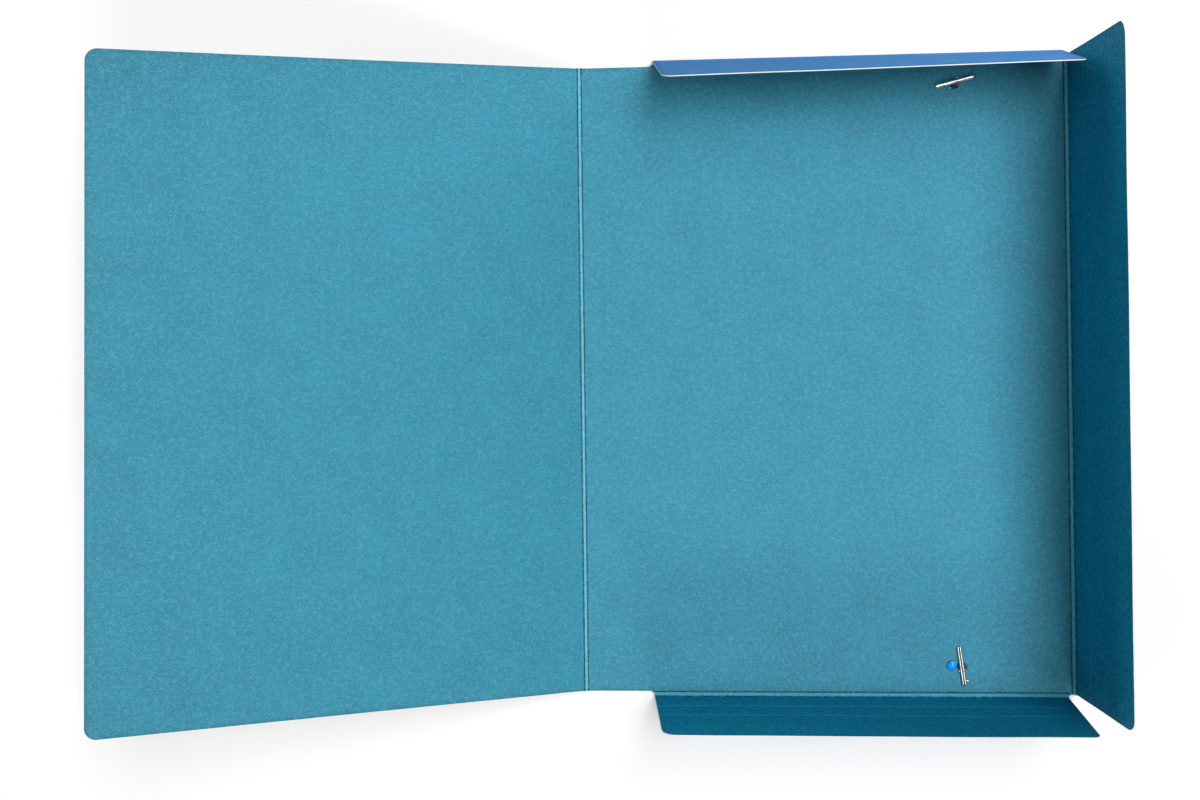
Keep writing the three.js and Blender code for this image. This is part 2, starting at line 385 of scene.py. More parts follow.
def crease_piece(name, ws, along, u0, u1, place, profile, mats, step=1.25):
    """A strip of board across one score: rows ws across it, from u0(w) to u1(w) along it.
    along(w, u) gives the flat point; profile(w, u) gives (inner height, outer height, bead, groove)."""
    bm = bmesh.new()
    flat_l = bm.verts.layers.float_vector.new("flat_")
    mark_l = bm.verts.layers.float_vector.new("mark_")
    mid = ws[len(ws) // 2]
    length = u1(mid) - u0(mid)
    n = max(4, round(length / step))
    cut = [0.0, 0.07, 0.32, 0.9]                         # insets at both free ends
    stations = [("a", c) for c in cut] + [("m", j / n) for j in range(1, n) if 1.6 < length * j / n < length - 1.6] \
        + [("b", c) for c in reversed(cut)]

    def at(st, w):
        k, v = st
        lo, hi = u0(w), u1(w)
        return lo + v if k == "a" else (hi - v if k == "b" else lo + (hi - lo) * v)

    def vert(w, u, h, bead, groove, e):
        x, y = along(w, u)
        v = bm.verts.new(row(place(x, y, h)))
        v[flat_l] = (x, y, h)
        v[mark_l] = (bead, groove, e)
        return v

    inner, outer, mids = [], [], []
    for st in stations:
        end = st[0] != "m" and st[1] == 0.0
        a, b, c = [], [], []
        for w in ws:
            u = at(st, w)
            hi, ho, bead, groove = profile(w, u)
            e = min(u - u0(w), u1(w) - u)
            dh = 0.055 if end else 0.0
            a.append(vert(w, u, hi - dh, bead, groove, e))
            b.append(vert(w, u, ho + dh, bead, groove, e))
        inner.append(a)
        outer.append(b)
        if end:
            sgn = -1 if st[0] == "a" else 1
            for w in ws:
                u = at(st, w) + sgn * 0.03
                hi, ho, bead, groove = profile(w, u)
                c.append(vert(w, u, (hi + ho) / 2, bead, groove, 0))
            mids.append(c)

    def quad(a, b, c, d, m):
        bm.faces.new((a, b, c, d)).material_index = m

    for rows, m in ((inner, 0), (outer, 1)):
        for i in range(len(rows) - 1):
            for j in range(len(ws) - 1):
                quad(rows[i][j], rows[i][j + 1], rows[i + 1][j + 1], rows[i + 1][j], m)
    for j in (0, len(ws) - 1):                            # seams
        for i in range(len(inner) - 1):
            quad(inner[i][j], inner[i + 1][j], outer[i + 1][j], outer[i][j], 2)
    for k, i in ((0, 0), (1, len(inner) - 1)):            # cut ends
        for j in range(len(ws) - 1):
            quad(inner[i][j], inner[i][j + 1], mids[k][j + 1], mids[k][j], 2)
            quad(mids[k][j], mids[k][j + 1], outer[i][j + 1], outer[i][j], 2)
        for j in (0, len(ws) - 1):                        # small triangles that close the seam walls
            bm.faces.new((inner[i][j], mids[k][j], outer[i][j])).material_index = 2
    flat, mark = clean(bm, (flat_l, mark_l))
    return finish_mesh(name, bm, flat, mark, mats, sharp=50)


# ------------------------------------------------------------------ materials
class Tree:
    def __init__(self, name):
        self.mat = bpy.data.materials.new(name)
        self.mat.use_nodes = True
        self.nt = self.mat.node_tree
        self.nt.nodes.clear()
        self.out = self.nt.nodes.new("ShaderNodeOutputMaterial")
        self.bsdf = self.nt.nodes.new("ShaderNodeBsdfPrincipled")
        self.nt.links.new(self.bsdf.outputs[0], self.out.inputs[0])

    def link(self, value, socket):
        if hasattr(value, "is_output"):
            self.nt.links.new(value, socket)
        else:
            socket.default_value = value

    def attr(self, name):
        n = self.nt.nodes.new("ShaderNodeAttribute")
        n.attribute_name = name
        return n.outputs["Vector"]

    def split(self, v):
        n = self.nt.nodes.new("ShaderNodeSeparateXYZ")
        self.link(v, n.inputs[0])
        return n.outputs

    def math(self, op, a, b=None, c=None, clamp=False):
        n = self.nt.nodes.new("ShaderNodeMath")
        n.operation = op
        n.use_clamp = clamp
        for k, v in enumerate((a, b, c)):
            if v is not None:
                self.link(v, n.inputs[k])
        return n.outputs[0]

    def vmath(self, op, a, b=None, scale=None):
        n = self.nt.nodes.new("ShaderNodeVectorMath")
        n.operation = op
        self.link(a, n.inputs[0])
        if b is not None:
            self.link(b, n.inputs[1])
        if scale is not None:
            self.link(scale, n.inputs["Scale"])
        return n.outputs[0]

    def noise(self, vec, scale, detail=2.0, rough=0.5, distort=0.0, color=False):
        n = self.nt.nodes.new("ShaderNodeTexNoise")
        self.link(vec, n.inputs["Vector"])
        n.inputs["Scale"].default_value = scale
        n.inputs["Detail"].default_value = detail
        n.inputs["Roughness"].default_value = rough
        n.inputs["Distortion"].default_value = distort
        return n.outputs["Color" if color else "Fac"]

    def voronoi(self, vec, scale, feature="F1", randomness=1.0):
        n = self.nt.nodes.new("ShaderNodeTexVoronoi")
        n.feature = feature
        self.link(vec, n.inputs["Vector"])
        n.inputs["Scale"].default_value = scale
        n.inputs["Randomness"].default_value = randomness
        return n.outputs

    def ramp(self, v, a, b, lo=0.0, hi=1.0, smooth=True):
        n = self.nt.nodes.new("ShaderNodeMapRange")
        n.interpolation_type = "SMOOTHSTEP" if smooth else "LINEAR"
        n.clamp = True
        self.link(v, n.inputs[0])
        for k, x in zip((1, 2, 3, 4), (a, b, lo, hi)):
            self.link(x, n.inputs[k])
        return n.outputs[0]

    def mix(self, fac, a, b, blend="MIX"):
        n = self.nt.nodes.new("ShaderNodeMix")
        n.data_type = "RGBA"
        n.blend_type = blend
        n.clamp_factor = True
        self.link(fac, n.inputs[0])
        self.link(a, n.inputs[6])
        self.link(b, n.inputs[7])
        return n.outputs[2]

    def bump(self, height, strength, distance, normal=None):
        n = self.nt.nodes.new("ShaderNodeBump")
        n.inputs["Strength"].default_value = strength
        n.inputs["Distance"].default_value = distance
        self.link(height, n.inputs["Height"])
        if normal is not None:
            self.link(normal, n.inputs["Normal"])
        return n.outputs[0]

    def set(self, **kw):
        for k, v in kw.items():
            self.link(v, self.bsdf.inputs[k.replace("_", " ")])
        return self.mat


def shifted(t, vec, x, y, z=0.0):
    return t.vmath("ADD", vec, (x, y, z))


def curls(t, vec, scale, width, mask_scale, lo, hi, warp=1.0):
    """Short curly lines: the contour of a warped noise, broken up by a second one."""
    w = t.noise(vec, scale * 0.8, 1.0, color=True)
    w = t.vmath("SUBTRACT", w, (0.5, 0.5, 0.5))
    w = t.vmath("SCALE", w, scale=warp)
    v = t.vmath("ADD", vec, w)
    n = t.noise(v, scale, 1.0, 0.4, 0.5)
    d = t.math("ABSOLUTE", t.math("SUBTRACT", n, 0.5))
    line = t.ramp(d, width * 0.25, width, 1.0, 0.0)
    m = t.ramp(t.noise(shifted(t, vec, 31, 17, 5), mask_scale, 0.0), lo, hi)
    return t.math("MULTIPLY", line, m)


def inner_paper(name, base, gloss, grain):
    """Pressed fibre paper on the inside of the board."""
    t = Tree(name)
    flat = t.attr("flat")
    bead, groove, edge = t.split(t.attr("mark"))
    cloud = t.noise(flat, 0.045, 4.0, 0.55)
    mott = t.noise(shifted(t, flat, 80, 3), 0.17, 3.0, 0.6)
    blot = t.noise(shifted(t, flat, 11, 9), 0.50, 2.0, 0.6)
    fine = t.noise(flat, 2.05, 2.0, 0.6)
    light = curls(t, flat, 0.62, 0.080, 0.40, 0.44, 0.58, 1.7)
    light2 = curls(t, shifted(t, flat, 53, 71), 0.95, 0.075, 0.55, 0.46, 0.60, 1.2)
    dark = curls(t, shifted(t, flat, 19, 37), 0.75, 0.075, 0.5, 0.44, 0.58, 1.4)
    sv = t.voronoi(flat, 0.11)
    speck = t.math("MULTIPLY", t.ramp(sv["Distance"], 0.02, 0.055, 1.0, 0.0),
                   t.ramp(t.split(sv["Color"])[0], 0.66, 0.68))
    sd = t.voronoi(shifted(t, flat, 7, 7), 0.09)
    dspeck = t.math("MULTIPLY", t.ramp(sd["Distance"], 0.018, 0.050, 1.0, 0.0),
                    t.ramp(t.split(sd["Color"])[1], 0.62, 0.64))
    lift = t.math("ADD", light, t.math("MULTIPLY", light2, 0.6), clamp=True)
    v = t.math("MULTIPLY_ADD", t.math("SUBTRACT", cloud, 0.5), 0.30, 1.0)
    v = t.math("MULTIPLY_ADD", t.math("SUBTRACT", mott, 0.5), 0.13, v)
    v = t.math("MULTIPLY_ADD", t.math("SUBTRACT", blot, 0.5), 0.08 * grain, v)
    v = t.math("MULTIPLY_ADD", t.math("SUBTRACT", fine, 0.5), 2.20 * grain, v)
    v = t.math("MULTIPLY_ADD", dark, -0.10 * grain, v)
    v = t.math("MULTIPLY_ADD", dspeck, -0.30, v)
    # the colour is darker towards the front cover's far end and towards the bottom; painted shade darkens the back
    # cover below the top flap, the whole top flap and the whole fore-edge flap, and painted light brightens the whole
    # bottom flap
    fx, fy = t.split(flat)[0], t.split(flat)[1]
    v = t.math("ADD", v, t.ramp(fx, -256.0, -120.0, -0.07, 0.0))
    v = t.math("ADD", v, t.ramp(fy, -168.0, -70.0, -0.07, 0.0))
    v = t.math("ADD", v, t.ramp(fy, 112.0, 162.0, 0.0, -0.10))
    v = t.math("ADD", v, t.ramp(fy, -165.0, -162.0, 0.15, 0.0))
    v = t.math("ADD", v, t.ramp(fx, 246.0, 249.0, 0.0, -0.08))
    # painted shade darkens the pressed lines of every score and the rims and walls of the punched holes; the paper over
    # each crease bead is paler, partly stretched paper and partly a painted highlight on its crown
    u = t.noise(flat, 0.33, 3.0, 0.7)
    worn_and_highlight = t.ramp(t.noise(shifted(t, flat, 5, 61), 0.8, 3.0, 0.7), 0.36, 0.60)
    gdark = t.math("MULTIPLY", groove, t.ramp(u, 0.30, 0.62, 0.94, 0.74), clamp=True)
    v = t.math("MULTIPLY", v, t.math("SUBTRACT", 1.0, gdark))
    # a second, unused score pressed along the fore-edge flap, 29 mm from its crease, painted as a faint highlight line
    away = t.math("ABSOLUTE", t.math("SUBTRACT", t.split(flat)[0], BACK_W + CREASE_W + 29.0))
    faint = t.math("MULTIPLY", t.ramp(away, 0.25, 1.05, 1.0, 0.0), t.ramp(u, 0.26, 0.50))
    v = t.math("MULTIPLY_ADD", faint, 0.38, v)
    # the paper stands up a little along the crease side of each capacity score, and a painted highlight makes it paler
    # there
    up = t.math("ABSOLUTE", t.split(flat)[1])
    for wf in (20.5, 39.5):
        away = t.math("ABSOLUTE", t.math("SUBTRACT", up, HALF_H + CREASE_W + wf - 1.3))
        line = t.math("MULTIPLY", t.ramp(away, 0.4, 1.4, 1.0, 0.0), t.ramp(u, 0.34, 0.56))
        v = t.math("MULTIPLY_ADD", line, 0.46, v)
    # painted shade: a band from 0.05 to 3 mm inside each cut edge is darker, where the edge rounds down
    v = t.math("MULTIPLY_ADD", t.math("MULTIPLY", t.ramp(edge, 0.3, 3.0, 1.0, 0.0), t.ramp(edge, 0.05, 0.5)), -0.16, v)
    col = t.vmath("SCALE", base, scale=v)
    col = t.mix(t.math("MULTIPLY", lift, 0.34 * grain, clamp=True), col, (0.075, 0.37, 0.49, 1))
    col = t.mix(t.math("MULTIPLY", speck, 0.5), col, (0.16, 0.46, 0.58, 1))
    # the bead's paler colour: stretched paper and a painted highlight
    bw = t.math("MULTIPLY", bead, t.math("MULTIPLY_ADD", worn_and_highlight, 0.50, 0.40))
    col = t.mix(bw, col, (0.108, 0.44, 0.59, 1))
    # the cut edge has lost some colour
    chip = t.noise(flat, 1.4, 3.0, 0.7)
    rub = t.ramp(t.math("MULTIPLY_ADD", t.math("SUBTRACT", chip, 0.5), 0.5, edge), 0.02, 0.30, 1.0, 0.0)
    col = t.mix(t.math("MULTIPLY", rub, 0.55), col, (0.26, 0.56, 0.66, 1))
    h = t.math("MULTIPLY_ADD", lift, 0.7, fine)
    h = t.math("MULTIPLY_ADD", dark, -0.5, h)
    h = t.math("MULTIPLY_ADD", blot, 0.5, h)
    rough = t.math("MULTIPLY_ADD", blot, 0.08, 0.66)
    return t.set(Base_Color=col, Roughness=rough, Normal=t.bump(h, 0.35, 2.2e-5), Specular_IOR_Level=gloss)


def outer_paper():
    """Smooth, denser coloured face on the outside of the board, satin from calendering."""
    t = Tree("board_outside_paper")
    flat = t.attr("flat")
    bead, groove, edge = t.split(t.attr("mark"))
    cloud = t.noise(flat, 0.03, 3.0, 0.5)
    mott = t.noise(shifted(t, flat, 14, 40), 0.25, 3.0, 0.6)
    fine = t.noise(flat, 2.6, 2.0, 0.6)
    fib = curls(t, shifted(t, flat, 91, 3), 0.55, 0.045, 0.4, 0.50, 0.62, 1.4)
    # fine scuffs from being slid over tables
    st = t.vmath("MULTIPLY", shifted(t, flat, 3, 3), (0.05, 0.9, 1.0))
    scuff = t.ramp(t.noise(st, 1.0, 3.0, 0.65), 0.62, 0.74)
    scuff = t.math("MULTIPLY", scuff, t.ramp(t.noise(flat, 0.02, 2.0), 0.45, 0.6))
    v = t.math("MULTIPLY_ADD", t.math("SUBTRACT", cloud, 0.5), 0.16, 1.0)
    v = t.math("MULTIPLY_ADD", t.math("SUBTRACT", mott, 0.5), 0.14, v)
    v = t.math("MULTIPLY_ADD", t.math("SUBTRACT", fine, 0.5), 0.16, v)
    # painted shade darkens the pressed lines and a band along each cut edge
    v = t.math("MULTIPLY", v, t.math("MULTIPLY_ADD", groove, -0.35, 1.0))
    v = t.math("MULTIPLY_ADD", t.ramp(edge, 0.4, 4.5, 1.0, 0.0), -0.20, v)
    col = t.vmath("SCALE", (0.012, 0.152, 0.400), scale=v)
    col = t.mix(t.math("MULTIPLY", fib, 0.10), col, (0.07, 0.27, 0.53, 1))
    col = t.mix(t.math("MULTIPLY", scuff, 0.10), col, (0.14, 0.35, 0.60, 1))
    # painted shade: the outside of each crease bead, where the fold turns away from the light, is darker
    col = t.mix(t.math("MULTIPLY", bead, 0.22), col, (0.010, 0.10, 0.30, 1))
    chip = t.noise(flat, 1.1, 3.0, 0.7)
    rub = t.ramp(t.math("MULTIPLY_ADD", t.math("SUBTRACT", chip, 0.5), 0.6, edge), 0.0, 0.26, 1.0, 0.0)
    col = t.mix(t.math("MULTIPLY", rub, 0.45), col, (0.30, 0.52, 0.80, 1))
    rough = t.math("MULTIPLY_ADD", mott, 0.14, 0.50)
    rough = t.math("MULTIPLY_ADD", scuff, 0.12, rough)
    h = t.math("MULTIPLY_ADD", mott, 1.2, fine)
    return t.set(Base_Color=col, Roughness=rough, Normal=t.bump(h, 0.30, 1.6e-5), Specular_IOR_Level=0.03)


def core_paper():
    """The cut edge: white pulp between the two coloured faces."""
    t = Tree("board_cut_edge")
    flat = t.attr("flat")
    h = t.split(flat)[2]
    st = t.vmath("MULTIPLY", flat, (1.0, 1.0, 5.0))
    layer = t.noise(st, 2.2, 3.0, 0.65)
    fuzz = t.noise(flat, 5.0, 3.0, 0.6)
    spots = t.ramp(t.noise(shifted(t, flat, 2, 8), 1.2, 3.0, 0.7), 0.56, 0.70)
    v = t.math("MULTIPLY_ADD", t.math("SUBTRACT", layer, 0.5), 0.22, 1.0)
    v = t.math("MULTIPLY_ADD", t.math("SUBTRACT", fuzz, 0.5), 0.12, v)
    col = t.vmath("SCALE", (0.82, 0.82, 0.80), scale=v)
    col = t.mix(t.math("MULTIPLY", spots, 0.25), col, (0.62, 0.60, 0.55, 1))
    hz = t.math("MULTIPLY_ADD", t.math("SUBTRACT", layer, 0.5), 0.10, h)
    col = t.mix(t.ramp(hz, -0.035, 0.005), col, (0.10, 0.36, 0.46, 1))
    col = t.mix(t.ramp(hz, -0.555, -0.515, 1.0, 0.0), col, (0.12, 0.30, 0.60, 1))
    hh = t.math("MULTIPLY_ADD", layer, 1.0, fuzz)
    return t.set(Base_Color=col, Roughness=t.math("MULTIPLY_ADD", fuzz, 0.1, 0.86), Normal=t.bump(hh, 0.6, 4e-5),
                 Specular_IOR_Level=0.3)


def bright_steel():
    """Nickel-bright folded sheet, drawn lengthwise, duller and warmer inside the fold."""
    t = Tree("fitting_bright_steel")
    loc = t.attr("flat")                       # along, round, depth in the bar
    mark = t.split(t.attr("mark"))             # seam, cut edge, spare
    st = t.vmath("MULTIPLY", loc, (0.25, 6.0, 6.0))
    grain = t.noise(st, 1.6, 3.0, 0.6)
    blot = t.noise(loc, 0.6, 3.0, 0.6)
    nick = t.ramp(t.noise(shifted(t, loc, 9, 2), 2.4, 2.0), 0.63, 0.70)
    v = t.math("MULTIPLY_ADD", t.math("SUBTRACT", grain, 0.5), 0.14, 1.0)
    v = t.math("MULTIPLY_ADD", t.math("SUBTRACT", blot, 0.5), 0.16, v)
    col = t.vmath("SCALE", (0.74, 0.705, 0.655), scale=v)
    col = t.mix(t.math("MULTIPLY", mark[0], 0.90), col, (0.15, 0.105, 0.075, 1))
    col = t.mix(t.math("MULTIPLY", nick, 0.25), col, (0.50, 0.48, 0.45, 1))
    rough = t.math("MULTIPLY_ADD", blot, 0.08, 0.27)
    rough = t.math("MULTIPLY_ADD", nick, 0.12, rough)
    rough = t.math("MULTIPLY_ADD", mark[0], 0.25, rough)
    return t.set(Base_Color=col, Metallic=1.0, Roughness=rough, Normal=t.bump(grain, 0.10, 6e-6))


def braid():
    """Flat braided elastic: crossing yarns over rubber cores."""
    t = Tree("elastic_braid")
    loc = t.attr("flat")                       # along, across, height in the strap
    s = t.split(loc)
    # two families of yarns that cross, each rib a column of chevrons
    rib = t.math("ABSOLUTE", t.math("SUBTRACT", t.math("FRACT", t.math("MULTIPLY", s[1], 2.0)), 0.5))
    slant = t.math("MULTIPLY_ADD", rib, 0.55, t.math("MULTIPLY", s[0], 1.9))
    yarn = t.math("ABSOLUTE", t.math("SUBTRACT", t.math("FRACT", slant), 0.5))
    yb = t.ramp(yarn, 0.04, 0.26, 0.0, 1.0)
    fil = t.noise(t.vmath("MULTIPLY", loc, (2.0, 14.0, 8.0)), 1.0, 2.0, 0.6)
    cloud = t.noise(loc, 0.08, 3.0)
    v = t.math("MULTIPLY_ADD", yb, 0.45, 0.62)
    v = t.math("MULTIPLY_ADD", t.math("SUBTRACT", fil, 0.5), 0.35, v)
    v = t.math("MULTIPLY_ADD", t.math("SUBTRACT", cloud, 0.5), 0.18, v)
    # painted shade darkens the braid inside the holes, under the board and inside the bar, and thins its pale fuzz
    # there
    v = t.math("MULTIPLY", v, t.math("MULTIPLY_ADD", t.split(t.attr("mark"))[0], -0.86, 1.0))
    col = t.vmath("SCALE", (0.045, 0.30, 0.62), scale=v)
    fuzz = t.ramp(t.noise(shifted(t, loc, 4, 4), 3.0, 3.0, 0.7), 0.60, 0.72)
    col = t.mix(t.math("MULTIPLY", fuzz, t.math("MULTIPLY_ADD", t.split(t.attr("mark"))[0], -0.28, 0.30)), col, (0.30, 0.62, 0.85, 1))
    h = t.math("MULTIPLY_ADD", fil, 0.35, yb)
    return t.set(Base_Color=col, Roughness=t.math("MULTIPLY_ADD", fil, 0.12, 0.72), Normal=t.bump(h, 0.7, 9e-5),
                 Sheen_Weight=0.25, Sheen_Roughness=0.4)


def filament():
    """Loose ends of the elastic's yarns, paler than the braid."""
    t = Tree("elastic_loose_yarn")
    loc = t.attr("flat")
    n = t.noise(t.vmath("MULTIPLY", loc, (1.0, 9.0, 9.0)), 2.0, 2.0)
    v = t.math("MULTIPLY_ADD", t.math("SUBTRACT", n, 0.5), 0.5, 1.0)
    col = t.vmath("SCALE", (0.40, 0.74, 0.82), scale=v)
    return t.set(Base_Color=col, Roughness=t.math("MULTIPLY_ADD", n, 0.2, 0.45), Normal=t.bump(n, 0.4, 3e-5))


def melted_plastic():
    """The melted head on the cord's spare end: clear bright blue, glossy, faintly ringed."""
    t = Tree("bead_gloss_blue")
    loc = t.attr("flat")
    s = t.split(loc)
    r = t.math("SQRT", t.math("ADD", t.math("MULTIPLY", s[0], s[0]), t.math("MULTIPLY", s[1], s[1])))
    n = t.noise(loc, 1.1, 3.0, 0.6)
    ring = t.math("SINE", t.math("MULTIPLY_ADD", r, 5.6, t.math("MULTIPLY", n, 3.0)))
    v = t.math("MULTIPLY_ADD", ring, 0.06, 1.0)
    v = t.math("MULTIPLY_ADD", t.math("SUBTRACT", n, 0.5), 0.30, v)
    # painted shade: a darker ring over the shallow groove, and the head darkening towards its rim where its sides turn
    # away from the light
    groove = t.ramp(t.math("ABSOLUTE", t.math("SUBTRACT", r, 1.62)), 0.10, 0.34, 1.0, 0.0)
    v = t.math("MULTIPLY_ADD", groove, -0.30, v)
    v = t.math("MULTIPLY", v, t.ramp(r, 2.15, 2.55, 1.0, 0.35))
    col = t.vmath("SCALE", (0.001, 0.34, 1.0), scale=v)
    h = t.math("MULTIPLY_ADD", ring, 0.15, n)
    return t.set(Base_Color=col, Roughness=t.math("MULTIPLY_ADD", n, 0.10, 0.10), Normal=t.bump(h, 0.20, 3e-5),
                 Specular_IOR_Level=0.3)


INNER = inner_paper("board_inside_paper", (0.016, 0.216, 0.320), 0.50, 1.0)
# painted light: the flaps get their own copy of the inside paper, bluer, with almost no red and almost no gloss, for
# the teal light bounced onto them from the covers
FLAP_INNER = inner_paper("board_inside_paper_flaps_painted_bounce", (0.001, 0.240, 0.400), 0.03, 1.60)
OUTER, CORE = outer_paper(), core_paper()
BOARD, FLAP = (INNER, OUTER, CORE), (FLAP_INNER, OUTER, CORE)
STEEL, BRAID, YARN, BEAD = bright_steel(), braid(), filament(), melted_plastic()


def keep(ob, slot, body=None, stands_for=()):
    if body:
        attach(ob, body)
    if stands_for:
        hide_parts(*stands_for)
    return ob


# ------------------------------------------------------------------ the board
# each flap's own outline (mm): hinge ends and far ends
TOP_L, TOP_R, TOP_LF, TOP_RF = 36.8, 242.7, 45.6, 241.1
BOT_L, BOT_R, BOT_LF, BOT_RF = 34.0, 241.7, 42.0, 242.9
SIDE_T, SIDE_TF, SIDE_B, SIDE_BF = 161.1, 158.6, 160.9, 156.7
NECK = 1.6                                     # fillet between back cover and flap, spine side


def panels():
    d = SEAM
    back = panel("back_panel", [
        (d, -HALF_H, 0, True), (BOT_L - NECK, -HALF_H, 0, False), (BOT_L - NECK, -HALF_H + d, 0, False),
        (BACK_W - d, -HALF_H + d, 0, False), (BACK_W - d, HALF_H - d, 0, False),
        (TOP_L - NECK, HALF_H - d, 0, False), (TOP_L - NECK, HALF_H, 0, True), (d, HALF_H, 0, False),
    ], on_back, BOARD, holes=[(HOLE[0], HOLE[1], HOLE[2]), (HOLE[0], -HOLE[1], HOLE[2])], seed=1)
    keep(back, "board", "back_cover", ["back_cover"])

    front = panel("front_panel", [
        (-FRONT_W - SPINE_W, -HALF_H, 6.0, True), (-SPINE_W - d, -HALF_H, 0, False),
        (-SPINE_W - d, HALF_H, 0, True), (-FRONT_W - SPINE_W, HALF_H, 6.0, True),
    ], on_cover, BOARD, seed=2)
    keep(front, "board", "front_cover", ["front_cover"])

    x0, x1 = BACK_W + CREASE_W + d, BACK_W + CREASE_W + 108
    f = lambda a, b, w: a + (b - a) * w / 108
    side = panel("side_flap_panel", [
        (x0, -f(SIDE_B, SIDE_BF, d), 0, True), (x1, -SIDE_BF, (12.0, 5.5), True),
        (x1, SIDE_TF, (8.0, 10.0), True), (x0, f(SIDE_T, SIDE_TF, d), 0, False),
    ], on_side, FLAP, seed=3)
    keep(side, "board", "side_flap", ["side_flap"])

    for prefix, s, place, (l0, r0, l1, r1) in (
            ("top", 1, on_top, (TOP_L, TOP_R, TOP_LF, TOP_RF)), ("bottom", -1, on_bottom, (BOT_L, BOT_R, BOT_LF, BOT_RF))):
        L = lambda w: l0 + (l1 - l0) * w / 78
        R = lambda w: r0 + (r1 - r0) * w / 78
        for part, a, b, last in (("base", d, 19.5, False), ("middle", 21.5, 38.5, False), ("lip", 40.5, 78.0, True)):
            ya, yb = HALF_H + CREASE_W + a, HALF_H + CREASE_W + b
            if s > 0:
                c = [(L(a), ya, 0, False), (R(a), ya, 0, True),
                     (R(b), yb, (6.0, 3.5) if last else 0, last), (L(b), yb, (5.0, 8.0) if last else 0, True)]
            else:
                c = [(L(b), -yb, (10.0, 6.5) if last else 0, last), (R(b), -yb, (3.5, 6.0) if last else 0, True),
                     (R(a), -ya, 0, False), (L(a), -ya, 0, True)]
            ob = panel(f"{prefix}_flap_{part}_panel", c, place, FLAP, seed=4 + s)
            keep(ob, "board", f"{prefix}_flap_{part}", [f"{prefix}_flap_{part}"])


def spread(a, b, marks):
    """Rows across a score: close together near it."""
    ws = {round(a, 4), round(b, 4)}
    for m in marks:
        for k in (-.62, -.5, -.4, -.32, -.25, -.19, -.14, -.09, -.045, 0, .045, .09, .14, .19, .25, .32, .4, .5, .62, .8):
            if a < m + k < b:
                ws.add(round(m + k, 4))
    x = a
    while x < b:
        ws.add(round(x, 4))
        x += 0.24
    out = []
    for w in sorted(ws):
        if not out or w - out[-1] > 0.03:
            out.append(w)
    out[-1] = round(b, 4)
    return out


def crease_profile(W, seed, crown=0.22, shine=1.0):
    def profile(w, u):
        # unevenness along the crease: the bead swells and thins, its lines wander
        k = 1 + 0.35 * wave(u, 0, seed, 4.5) + 0.22 * wave(u, 3, seed, 1.9)
        s = 0.07 * wave(u, 9, seed + 1, 3.2) + 0.04 * wave(u, 5, seed + 1, 1.4)
        g0 = math.exp(-((w - s) / 0.20) ** 2)
        g1 = math.exp(-((w - W - s) / 0.20) ** 2)
        deep0, deep1 = 1 + 0.4 * wave(u, 1, seed + 2, 6), 1 + 0.4 * wave(u, 2, seed + 3, 5)
        t = min(max((w - s) / W, 0), 1)
        b = math.sin(math.pi * t)
        crownh = crown * k * b ** 0.75 if b > 0 else 0
        hi = crownh - 0.09 * (g0 * deep0 + g1 * deep1)
        ho = -T + 0.14 * b ** 0.6 if b > 0 else -T
        # bead: paler crown, partly stretched paper and partly a painted highlight (the outer material paints it darker
        # as shade); d0, d1: painted shade in the pressed lines beside it
        bead = max(0.0, min(1.0, (b - 0.48) / 0.30)) * min(1.15, 0.75 + 0.35 * k) * shine
        d0, d1 = math.exp(-((w - s) / 0.36) ** 2), math.exp(-((w - W - s) / 0.44) ** 2)
        return hi, ho, bead, min(1.0, 0.95 * (d0 * deep0 + d1 * deep1))
    return profile


def capacity_profile(seed):
    def profile(w, u):
        k = 0.8 + 0.9 * wave(u, 0, seed, 7.0) + 0.5 * wave(u, 4, seed, 2.2)
        k = min(max(k, 0.15), 1.7)
        g = math.exp(-(w / 0.22) ** 2)
        lip = math.exp(-((w - 0.5) / 0.2) ** 2) + math.exp(-((w + 0.5) / 0.2) ** 2)
        # pale paints a highlight on the crease side of the score, dark paints shade beyond it
        pale = math.exp(-((w + 0.95) / 0.75) ** 2) if w < 0 else 0.0
        dark = math.exp(-((w - 0.55) / 0.55) ** 2)
        fade = min(1.0, (1.6 - abs(w)) / 0.4)
        return (-0.08 * g + 0.055 * k * lip, -T - 0.05 * math.exp(-(w / 0.3) ** 2), 0.52 * (0.5 + 0.5 * k) * pale * fade,
                (0.30 * g + 0.24 * dark) * fade)
    return profile


def hinge_points(p, direction):
    """start and end for a blend over one score: p in the board frame, direction a unit vector."""
    r = DELTA * 0.94
    return row(Vector(p) - direction * r), row(Vector(p) + direction * r)


